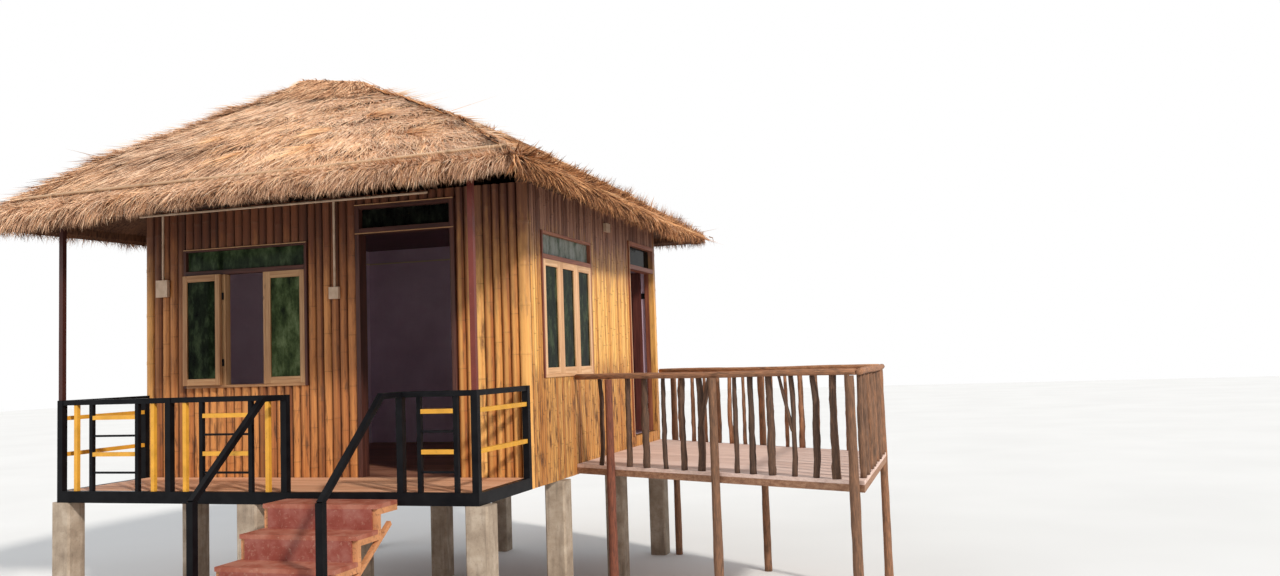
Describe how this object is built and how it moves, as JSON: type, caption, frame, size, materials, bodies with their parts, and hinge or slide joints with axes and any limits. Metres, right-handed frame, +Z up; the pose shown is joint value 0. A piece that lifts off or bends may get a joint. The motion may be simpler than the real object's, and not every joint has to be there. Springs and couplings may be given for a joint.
{
  "type": "stilt house",
  "caption": "Bamboo-clad stilt house with a thatched hip roof, railed veranda, steel stair and skew log-railed side deck.",
  "frame": {"origin": "foot centre of the front right pillar, on the lowest ground", "axes": "+Z up, +X right along the front wall seen from the front, +Y from the front to the back"},
  "size_m": [6.5939, 6.713, 4.8956],
  "materials": {
    "concrete": "rough",
    "dark_timber": "matt",
    "floor_board": "satin",
    "ceiling_board": "matt",
    "black_steel": "satin",
    "bamboo": "satin",
    "plaster": "matt",
    "orange_wood": "satin",
    "glass": "glossy",
    "maroon_wood": "satin",
    "thatch": "rough",
    "red_steel": "satin",
    "yellow_steel": "satin",
    "red_tread": "satin",
    "orange_steel": "satin",
    "deck_board": "matt",
    "bark_wood": "rough",
    "pale_plastic": "matt"
  },
  "bodies": {
    "house": {"pillars": "concrete", "floor_beams": "dark_timber", "room_floor": "floor_board", "ceiling": "ceiling_board", "veranda_frame": "black_steel", "veranda_floor": "floor_board", "front_wall": "bamboo", "right_wall": "bamboo", "rear_wall": "bamboo", "left_wall": "bamboo", "corner_posts": "bamboo", "wall_lining": "plaster", "front_window_frame": "orange_wood", "front_window_sashes": "orange_wood", "front_window_glass": "glass", "front_window_hinges": "black_steel", "side_window_frame": "orange_wood", "side_window_sashes": "orange_wood", "side_window_glass": "glass", "front_door_frame": "orange_wood", "side_door_frame": "orange_wood", "door_lights": "glass", "side_door_hinges": "black_steel", "thatch_front": "thatch", "thatch_right": "thatch", "thatch_rear": "thatch", "thatch_left": "thatch", "ridge_cap": "thatch", "thatch_battens": "bamboo", "rafters": "bamboo", "roof_beams": "dark_timber", "roof_posts": "red_steel", "front_railings": "black_steel", "side_railings": "black_steel", "yellow_rail_bars": "yellow_steel", "stair_treads": "red_tread", "stair_risers": "red_tread", "stair_stringers": "orange_steel", "handrails": "black_steel", "deck_floor": "deck_board", "deck_beams": "dark_timber", "deck_posts": "bark_wood", "deck_rails": "bark_wood", "deck_sticks": "bark_wood", "wiring": "pale_plastic"},
    "side_door": {"side_door_leaf": "maroon_wood"}
  },
  "joints": [
    {"name": "side_door_hinge", "type": "hinge", "parent": "house", "child": "side_door", "pos_m": [-0.1155, 4.4075, 2], "axis": [0, 0, 1], "range_deg": [0, 90]}
  ]
}
